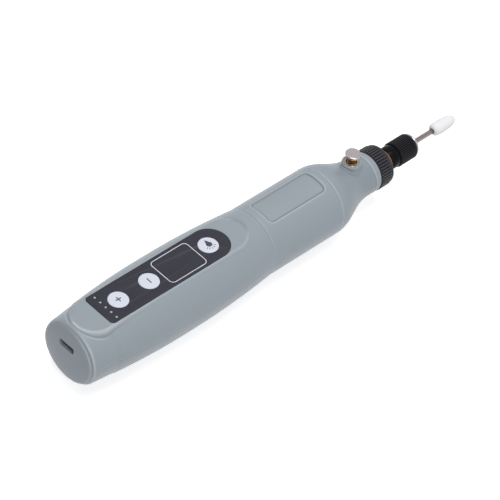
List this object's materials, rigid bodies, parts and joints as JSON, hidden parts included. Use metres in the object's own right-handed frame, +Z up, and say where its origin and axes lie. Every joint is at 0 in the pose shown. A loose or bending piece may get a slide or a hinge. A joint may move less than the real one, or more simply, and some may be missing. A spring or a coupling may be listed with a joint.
{
  "type": "mini grinder",
  "caption": "Cordless pen-shaped mini grinder with a keypad panel, spindle lock button, keyless chuck and mounted stone.",
  "frame": {"origin": "middle of the bounding box, on the plane of the flat under the belly that the tool rests on", "axes": "+X along the tool's axis towards the bit, +Z up through the keypad deck, +Y to the left seen from the rear end"},
  "size_m": [0.216, 0.0344, 0.0341],
  "materials": {
    "body_plastic": "satin grey-blue",
    "black_plastic": "satin black",
    "panel_film": "smooth dark film",
    "key_white": "satin white",
    "clear_plastic": "clear",
    "chrome": "polished",
    "steel": "turned",
    "black_steel": "blackened",
    "brass": "turned",
    "iron": "laminated",
    "board": "green solder mask",
    "cell": "shrink wrap",
    "foam": "closed-cell foam",
    "wire_red": "insulated",
    "wire_black": "insulated",
    "stone": "fine abrasive"
  },
  "bodies": {
    "handle": {"handle_top_shell": "body_plastic", "handle_bottom_shell": "body_plastic", "case_screw_1": "steel", "case_screw_2": "steel", "case_screw_3": "steel", "case_screw_4": "steel", "keypad_overlay": "panel_film", "switch_plus": "black_plastic", "switch_minus": "black_plastic", "switch_light": "black_plastic", "battery_lights": "key_white", "control_board": "board", "charge_board": "board", "board_header": "black_plastic", "charge_port": "steel", "battery_cell": "cell", "battery_tab_rear": "steel", "battery_tab_front": "steel", "battery_pad": "foam", "grip_housing": "body_plastic", "nose_housing": "body_plastic", "lock_bush": "brass", "lock_spring": "steel", "light_board": "board", "motor_can": "steel", "motor_end_cap": "black_plastic", "motor_magnet_1": "iron", "motor_magnet_2": "iron", "rear_bearing_outer": "steel", "front_bearing_outer": "steel", "bearing_circlip": "steel", "motor_lead_red": "wire_red", "motor_lead_black": "wire_black", "battery_lead_red": "wire_red", "battery_lead_black": "wire_black"},
    "plus_key": {"key_plus": "key_white"},
    "minus_key": {"key_minus": "key_white"},
    "light_key": {"key_light": "key_white"},
    "lock": {"lock_button": "chrome", "lock_clip": "steel"},
    "ring": {"nose_ring": "black_plastic", "light_window": "clear_plastic"},
    "rotating": {"motor_rotor": "iron", "motor_commutator": "brass", "motor_shaft": "steel", "drive_coupling": "brass", "spindle": "steel", "rear_bearing_inner": "steel", "rear_bearing_balls": "steel", "front_bearing_inner": "steel", "front_bearing_balls": "steel", "spindle_collar": "brass", "chuck_body": "black_steel"},
    "sleeve": {"chuck_sleeve": "black_steel"},
    "jaw_1": {"chuck_jaw_1": "steel"},
    "jaw_2": {"chuck_jaw_2": "steel"},
    "jaw_3": {"chuck_jaw_3": "steel"},
    "bit": {"bit_shank": "chrome", "grinding_stone": "stone"}
  },
  "joints": [
    {"name": "spindle_spin", "type": "hinge", "parent": "handle", "child": "rotating", "pos_m": [0.0447, 0, 0.01722], "axis": [1, 0, 0], "continuous": true},
    {"name": "sleeve_turn", "type": "hinge", "parent": "rotating", "child": "sleeve", "pos_m": [0.0765, 0, 0.01722], "axis": [-1, 0, 0], "range_deg": [0, 360]},
    {"name": "jaw_1_slide", "type": "slide", "parent": "rotating", "child": "jaw_1", "axis": [-0.9642, 0, 0.2652], "range_m": [0, 0.0012]},
    {"name": "jaw_2_slide", "type": "slide", "parent": "rotating", "child": "jaw_2", "axis": [-0.9642, -0.2296, -0.1326], "range_m": [0, 0.0012]},
    {"name": "jaw_3_slide", "type": "slide", "parent": "rotating", "child": "jaw_3", "axis": [-0.9642, 0.2296, -0.1326], "range_m": [0, 0.0012]},
    {"name": "bit_pull", "type": "slide", "parent": "rotating", "child": "bit", "axis": [1, 0, 0], "range_m": [0, 0.008]},
    {"name": "ring_turn", "type": "hinge", "parent": "handle", "child": "ring", "pos_m": [0.0595, 0, 0.01722], "axis": [1, 0, 0], "range_deg": [0, 360]},
    {"name": "lock_press", "type": "slide", "parent": "handle", "child": "lock", "axis": [0, 0, -1], "range_m": [0, 0.0016], "stiffness_N_per_m": 400, "deforming": ["lock_spring"]},
    {"name": "plus_press", "type": "slide", "parent": "handle", "child": "plus_key", "axis": [0, 0, -1], "range_m": [0, 0.0003], "stiffness_N_per_m": 6400},
    {"name": "minus_press", "type": "slide", "parent": "handle", "child": "minus_key", "axis": [0, 0, -1], "range_m": [0, 0.0003], "stiffness_N_per_m": 6400},
    {"name": "light_press", "type": "slide", "parent": "handle", "child": "light_key", "axis": [0, 0, -1], "range_m": [0, 0.0003], "stiffness_N_per_m": 6400}
  ],
  "couplings": [
    {"joint": "jaw_1_slide", "follows": "sleeve_turn", "m_per_rad": 0.00019099},
    {"joint": "jaw_2_slide", "follows": "sleeve_turn", "m_per_rad": 0.00019099},
    {"joint": "jaw_3_slide", "follows": "sleeve_turn", "m_per_rad": 0.00019099}
  ]
}
